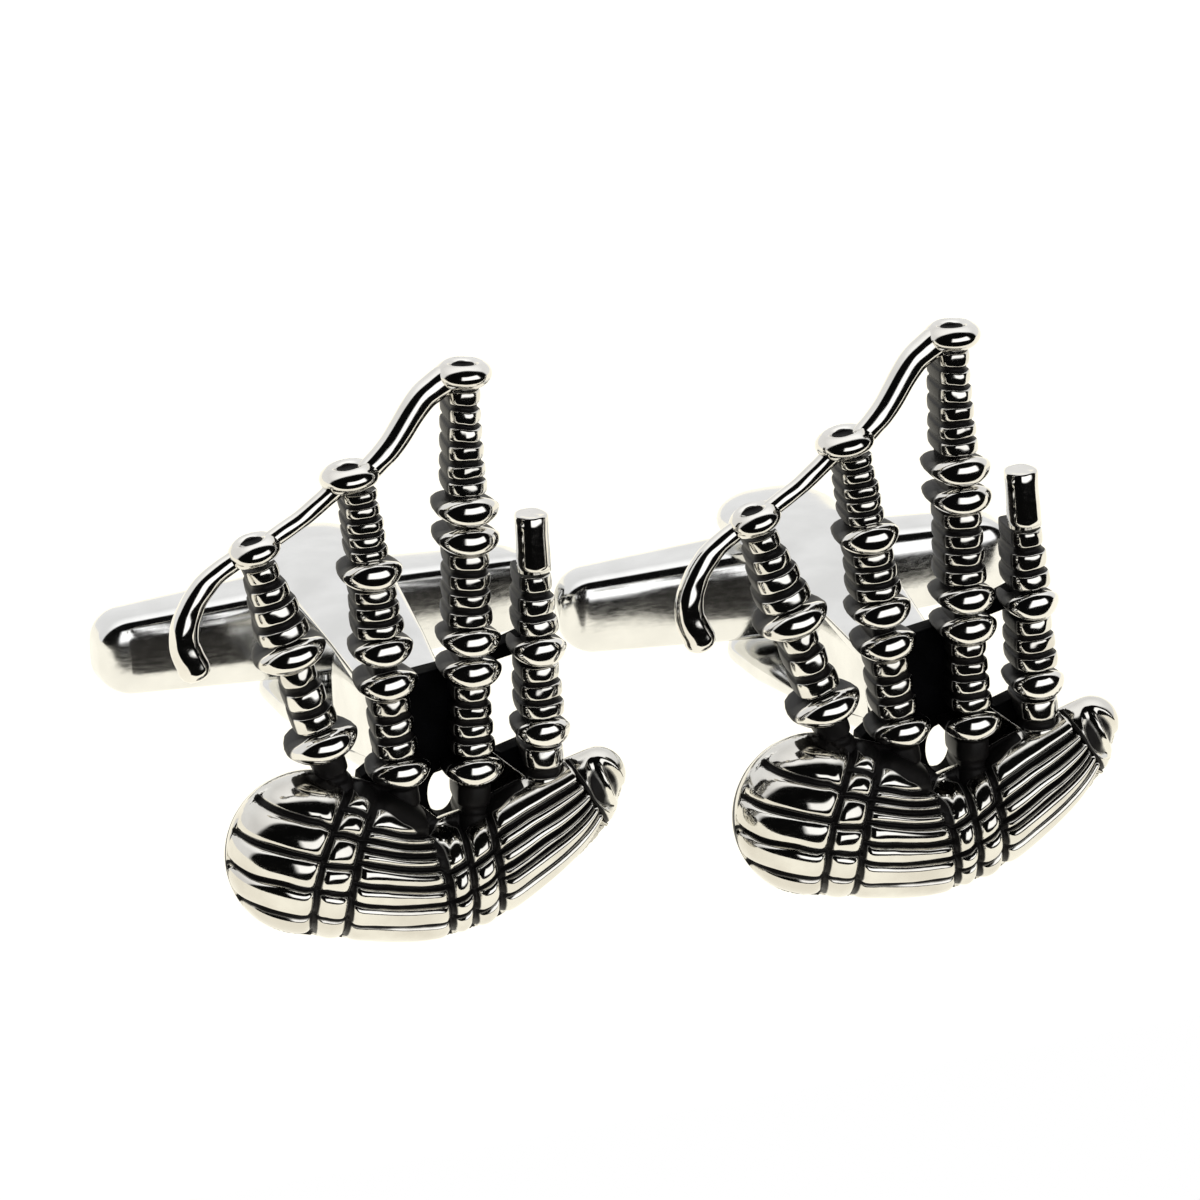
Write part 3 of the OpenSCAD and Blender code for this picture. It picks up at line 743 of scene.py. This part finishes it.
def pad_mesh():
    """Flat round pad with a softly rounded rim, on the back."""
    mesh = pin_mesh(PAD_R, PAD_T / 2, 0.14)
    centre = Matrix.Translation(Vector((0, PAD_T / 2, PIVOT_Z)) * MM)
    mesh.transform(centre @ Matrix.Rotation(math.pi / 2, 4, "X"))
    return mesh


# ---------------------------------------------------------------- materials

def nodes_of(material):
    material.use_nodes = True
    tree = material.node_tree
    return tree, tree.nodes["Principled BSDF"]


def add(tree, kind, **values):
    node = tree.nodes.new(kind)
    for key, value in values.items():
        if hasattr(node, key):
            setattr(node, key, value)
        else:
            node.inputs[key.replace("_", " ")].default_value = value
    return node


def noise_on(tree, scale, detail, stretch=(1, 1, 1)):
    """Noise in the object's own coordinates, with its scale per metre."""
    coords = add(tree, "ShaderNodeTexCoord")
    mapping = add(tree, "ShaderNodeMapping", Scale=stretch)
    tex = add(tree, "ShaderNodeTexNoise", Scale=scale, Detail=detail)
    tree.links.new(coords.outputs["Object"], mapping.inputs["Vector"])
    tree.links.new(mapping.outputs["Vector"], tex.inputs["Vector"])
    return tex.outputs["Fac"]


def ramp(tree, source, stops):
    node = add(tree, "ShaderNodeValToRGB")
    line = node.color_ramp
    while len(line.elements) < len(stops):
        line.elements.new(0.5)
    for element, (at, colour) in zip(line.elements, stops):
        element.position = at
        element.color = (*colour, 1)
    tree.links.new(source, node.inputs["Fac"])
    return node.outputs["Color"]


def grey(v):
    return (v, v, v)


def math_node(tree, operation, a, b):
    node = add(tree, "ShaderNodeMath", operation=operation)
    for socket, value in zip(node.inputs, (a, b)):
        if isinstance(value, (int, float)):
            socket.default_value = value
        else:
            tree.links.new(value, socket)
    return node.outputs[0]


def mixed(tree, factor, first, second):
    """First colour where the factor is 0, second, a fixed colour, where it is 1."""
    mix = add(tree, "ShaderNodeMix", data_type="RGBA")
    tree.links.new(factor, mix.inputs["Factor"])
    tree.links.new(first, mix.inputs["A"])
    mix.inputs["B"].default_value = (*second, 1)
    return mix.outputs["Result"]


def bumped(tree, shader, height, strength, distance):
    bump = add(tree, "ShaderNodeBump", Strength=strength, Distance=distance)
    tree.links.new(height, bump.inputs["Height"])
    tree.links.new(bump.outputs["Normal"], shader.inputs["Normal"])


def silver(name, light, dark, gloss, black_start):
    """Polished metal that turns black where its share of black in hollows and painted shade, with noise,
    passes a start; fine scratches and soft casting bumps.
    """
    material = bpy.data.materials.new(name)
    tree, shader = nodes_of(material)
    shader.inputs["Specular IOR Level"].default_value = 0.12
    hollow_black_and_shade = add(tree, "ShaderNodeAttribute", attribute_name="hollow_black_and_shade").outputs["Fac"]
    patches = noise_on(tree, 900, 3)
    uneven = math_node(tree, "MULTIPLY", math_node(tree, "SUBTRACT", patches, 0.5), 0.5)
    # Noise makes the edge of the black patchy; the black stands for black in hollows and for painted shade.
    patchy_black_and_shade = math_node(tree, "ADD", hollow_black_and_shade, uneven)
    black = ramp(tree, patchy_black_and_shade, [(black_start, grey(0)), (min(1.0, black_start + 0.22), grey(1))])
    tree.links.new(math_node(tree, "SUBTRACT", 1.0, black), shader.inputs["Metallic"])
    tone = ramp(tree, noise_on(tree, 500, 4), [(0.35, dark), (0.65, light)])
    tree.links.new(mixed(tree, black, tone, (0.012, 0.011, 0.011)), shader.inputs["Base Color"])
    fine = ramp(tree, noise_on(tree, 2600, 5, (1, 1, 4)), [(0.3, grey(gloss)), (0.75, grey(gloss + 0.08))])
    tree.links.new(mixed(tree, black, fine, grey(0.42)), shader.inputs["Roughness"])
    bumped(tree, shader, noise_on(tree, 1500, 3), 0.06, 0.00005)
    return material


def black_web():
    material = bpy.data.materials.new("blackened_recess")
    tree, shader = nodes_of(material)
    shader.inputs["Metallic"].default_value = 0.0
    tone = ramp(tree, noise_on(tree, 700, 4), [(0.4, grey(0.001)), (0.7, (0.004, 0.004, 0.005))])
    tree.links.new(tone, shader.inputs["Base Color"])
    matt = ramp(tree, noise_on(tree, 1200, 3), [(0.3, grey(0.5)), (0.7, grey(0.75))])
    tree.links.new(matt, shader.inputs["Roughness"])
    shader.inputs["Specular IOR Level"].default_value = 0.02
    bumped(tree, shader, noise_on(tree, 1400, 4), 0.5, 0.0001)
    return material


ANTIQUE = silver("antique_silver", (0.76, 0.75, 0.71), (0.62, 0.6, 0.56), 0.06, 0.38)
BRIGHT = silver("polished_silver", (0.8, 0.79, 0.76), (0.7, 0.68, 0.64), 0.045, 0.45)
FINDING = silver("polished_finding", (0.8, 0.8, 0.79), (0.72, 0.72, 0.71), 0.09, 0.6)
WEB = black_web()


# ---------------------------------------------------------------- pieces on their bodies

def show(side_name, side, base, mesh, place, material, slot, body="cufflink"):
    """One piece, in place on its body, standing for its CAD node."""
    node = f"{side_name}_{base}"
    if not mesh.materials:
        mesh.materials.append(material)
    piece = bpy.data.objects.new(f"{node}_look", mesh)
    bpy.context.scene.collection.objects.link(piece)
    piece.matrix_world = placed(side) @ place
    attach(piece, f"{side_name}_{body}")
    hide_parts(node)


def all_pieces():
    """Node name, mesh, place in the cufflink's frame, material and slot of each piece on the cufflink."""
    here = Matrix.Identity(4)
    yield "bag", bag_mesh(), here, ANTIQUE, "antique_silver"
    yield "bag_tip", bag_tip_mesh(), here, ANTIQUE, "antique_silver"
    yield "back_web", web_mesh(), here, WEB, "blackened_recess"
    for base, mesh, pipe in pipe_pieces():
        plain = base.endswith("drone") or base == "blowpipe"
        yield (base, mesh, on_pipe(pipe), ANTIQUE if plain else BRIGHT,
               "antique_silver" if plain else "polished_silver")
    for base, mesh, place in cap_pieces():
        yield base, mesh, place, BRIGHT, "polished_silver"
    for base, mesh in cord_pieces():
        yield base, mesh, here, BRIGHT, "polished_silver"
    yield "solder_pad", pad_mesh(), here, FINDING, "polished_finding"
    yield "fork", fork_mesh(), here, FINDING, "polished_finding"
    pin = moved(pin_mesh(PIN_R, ARM_OUT - 0.15), y=PIVOT_Y, z=PIVOT_Z)
    yield "pivot_pin", pin, here, FINDING, "polished_finding"


for base, mesh, place, material, slot in all_pieces():
    for side_name, side in SIDES:
        show(side_name, side, base, mesh, place, material, slot)
bar = toggle_mesh()
for side_name, side in SIDES:
    pivot = Matrix.Translation(Vector((0, PIVOT_Y, PIVOT_Z)) * MM)
    swing = Matrix.Rotation(math.radians(-side * TOGGLE_SWING), 4, "Z")
    show(side_name, side, "toggle_bar", bar, pivot @ swing, FINDING, "polished_finding", "toggle")


# ---------------------------------------------------------------- floor, light and camera

def floor():
    """Cream table that gives its own light, from just in front of the pair to well behind it."""
    mesh = bpy.data.meshes.new("floor")
    left, right, near, far = -0.4, 0.4, -0.021, 0.6
    mesh.from_pydata([(left, near, 0), (right, near, 0), (right, far, 0), (left, far, 0)], [], [(0, 1, 2, 3)])
    material = bpy.data.materials.new("floor")
    tree, shader = nodes_of(material)
    shader.inputs["Base Color"].default_value = (0.05, 0.05, 0.05, 1)
    shader.inputs["Roughness"].default_value = 1.0
    shader.inputs["Specular IOR Level"].default_value = 0.0
    shader.inputs["Emission Color"].default_value = (1, 0.96, 0.84, 1)
    shader.inputs["Emission Strength"].default_value = 1.2
    mesh.materials.append(material)
    table = bpy.data.objects.new("floor", mesh)
    bpy.context.scene.collection.objects.link(table)


def studio():
    """White to the camera; reflections show it bright behind, dark in front with a soft window."""
    world = bpy.data.worlds.new("studio")
    bpy.context.scene.world = world
    world.use_nodes = True
    tree = world.node_tree
    out = tree.nodes["World Output"]
    white = tree.nodes["Background"]
    white.inputs["Color"].default_value = (1, 1, 1, 1)
    room = add(tree, "ShaderNodeBackground")
    coords = add(tree, "ShaderNodeTexCoord")
    split = add(tree, "ShaderNodeSeparateXYZ")
    tree.links.new(coords.outputs["Generated"], split.inputs[0])
    x, y, z = split.outputs
    half_y = math_node(tree, "ADD", math_node(tree, "MULTIPLY", y, 0.5), 0.5)
    behind = ramp(tree, half_y, [(0.49, grey(0)), (0.55, grey(1))])
    height = ramp(tree, z, [(0.5, grey(0.95)), (0.9, grey(1.3))])
    turn = math_node(tree, "ARCTAN2", x, math_node(tree, "MULTIPLY", y, -1.0))
    across = math_node(tree, "ABSOLUTE", math_node(tree, "SUBTRACT", turn, 0.28), 0)
    up = math_node(tree, "ABSOLUTE", math_node(tree, "SUBTRACT", z, 0.3), 0)
    window = math_node(
        tree, "MULTIPLY",
        ramp(tree, across, [(0.6, grey(1)), (0.72, grey(0))]),
        ramp(tree, up, [(0.24, grey(1)), (0.32, grey(0))]),
    )
    wall = math_node(tree, "MULTIPLY", behind, height)
    glow = math_node(tree, "MAXIMUM", wall, math_node(tree, "MULTIPLY", window, 1.5))
    tree.links.new(math_node(tree, "ADD", glow, 0.003), room.inputs["Color"])
    path = add(tree, "ShaderNodeLightPath")
    mix = add(tree, "ShaderNodeMixShader")
    tree.links.new(path.outputs["Is Camera Ray"], mix.inputs[0])
    tree.links.new(room.outputs[0], mix.inputs[1])
    tree.links.new(white.outputs[0], mix.inputs[2])
    tree.links.new(mix.outputs[0], out.inputs["Surface"])


def camera():
    """Camera in front, to the left and above, looking down on the pair."""
    data = bpy.data.cameras.new("camera")
    data.lens = 164.5
    data.sensor_width = 36.0
    data.clip_start = 0.01
    data.clip_end = 20.0
    cam = bpy.data.objects.new("camera", data)
    bpy.context.scene.collection.objects.link(cam)
    target = Vector((3.975, 14.401, -0.362)) * MM
    az, el, dist = math.radians(-17.43), math.radians(29.92), 222.6 * MM
    away = Vector((math.sin(az) * math.cos(el), -math.cos(az) * math.cos(el), math.sin(el)))
    cam.location = target + away * dist
    cam.rotation_euler = (-away).to_track_quat("-Z", "Y").to_euler()
    bpy.context.scene.camera = cam


floor()
studio()
camera()
bpy.context.scene.view_settings.view_transform = "Standard"
